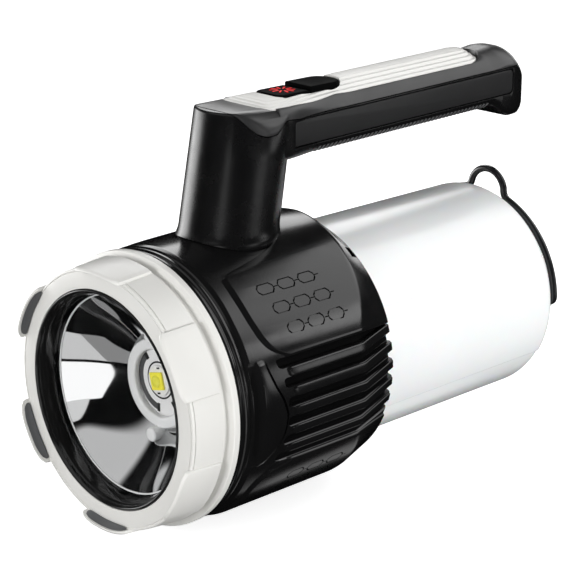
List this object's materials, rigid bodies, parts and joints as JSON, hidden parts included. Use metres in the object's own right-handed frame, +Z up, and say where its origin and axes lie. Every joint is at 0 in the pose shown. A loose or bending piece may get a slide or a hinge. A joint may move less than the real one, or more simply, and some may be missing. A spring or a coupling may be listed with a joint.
{
  "type": "handheld searchlight",
  "caption": "Handheld searchlight with a top grip, chrome reflector head in a lugged pale bezel, ribbed black drum body, white lantern tail and folding wire hook.",
  "frame": {"origin": "bottom centre of the bounding box, on the ground under the body's foot", "axes": "+Z up; -Y out of the lens along the beam; +Y to the lantern tail and the grip's rear end; +X to the right-hand side seen from the front with the lens facing the viewer"},
  "size_m": [0.1014, 0.2122, 0.1512],
  "materials": {
    "bail_black": "black coated steel wire",
    "battery_wrap": "shrink wrap",
    "battery_plate": "black moulded plastic",
    "bezel_plastic": "satin moulded plastic, pale warm grey",
    "body_black": "black, satin with gloss highlights",
    "button_black": "black",
    "port_cover_rubber": "soft black rubber",
    "socket_metal": "plated shell",
    "diffuser_white": "glossy opal white",
    "driver_board_green": "green board",
    "insert_white": "off-white, low sheen",
    "grip_rubber": "dark ribbed rubber",
    "cover_satin": "satin charcoal",
    "neck_gloss": "glossy black",
    "heat_sink_aluminium": "bare cast aluminium",
    "lantern_board_white": "white board",
    "led_base_white": "white ceramic",
    "led_board_white": "white solder mask",
    "led_phosphor": "yellow phosphor",
    "gasket_translucent": "translucent silicone",
    "lens_clear": "clear polished",
    "lens_ring_gloss": "gloss black",
    "lug_pad_rubber": "dark soft rubber",
    "reflector_chrome": "vacuum-metallised mirror",
    "side_panel_matte": "matt black",
    "switch_board_green": "green board"
  },
  "bodies": {
    "lamp": {"battery_cell_1": "battery_wrap", "battery_cell_2": "battery_wrap", "battery_cell_3": "battery_wrap", "battery_plate_front": "battery_plate", "battery_plate_rear": "battery_plate", "bezel": "bezel_plastic", "body_shell": "body_black", "charge_socket": "socket_metal", "diffuser": "diffuser_white", "driver_board": "driver_board_green", "grip_insert": "insert_white", "grip_pad": "grip_rubber", "handle_cover": "cover_satin", "handle_frame": "neck_gloss", "heat_sink": "heat_sink_aluminium", "lantern_board": "lantern_board_white", "led_base": "led_base_white", "led_board": "led_board_white", "led_chip": "led_phosphor", "led_gasket": "gasket_translucent", "lens": "lens_clear", "lens_ring": "lens_ring_gloss", "lug_pad_1": "lug_pad_rubber", "lug_pad_2": "lug_pad_rubber", "lug_pad_3": "lug_pad_rubber", "lug_pad_4": "lug_pad_rubber", "lug_pad_5": "lug_pad_rubber", "lug_pad_6": "lug_pad_rubber", "reflector": "reflector_chrome", "side_panel_left": "side_panel_matte", "side_panel_right": "side_panel_matte", "switch_board": "switch_board_green"},
    "bail": {"bail": "bail_black"},
    "front_button": {"button_front": "button_black"},
    "rear_button": {"button_rear": "button_black"},
    "charge_cover": {"charge_cover": "port_cover_rubber"}
  },
  "joints": [
    {"name": "bail_hinge", "type": "hinge", "parent": "lamp", "child": "bail", "pos_m": [0, 0.0949, 0.0513], "axis": [-1, 0, 0], "range_deg": [0, 180]},
    {"name": "front_button_slide", "type": "slide", "parent": "lamp", "child": "front_button", "axis": [0, 0, -1], "range_m": [0, 0.0008], "stiffness_N_per_m": 400},
    {"name": "rear_button_slide", "type": "slide", "parent": "lamp", "child": "rear_button", "axis": [0, 0, -1], "range_m": [0, 0.0008], "stiffness_N_per_m": 400},
    {"name": "charge_cover_hinge", "type": "hinge", "parent": "lamp", "child": "charge_cover", "pos_m": [-0.0172, -0.0409, 0.1111], "axis": [0, -1, 0], "range_deg": [0, 100]}
  ]
}
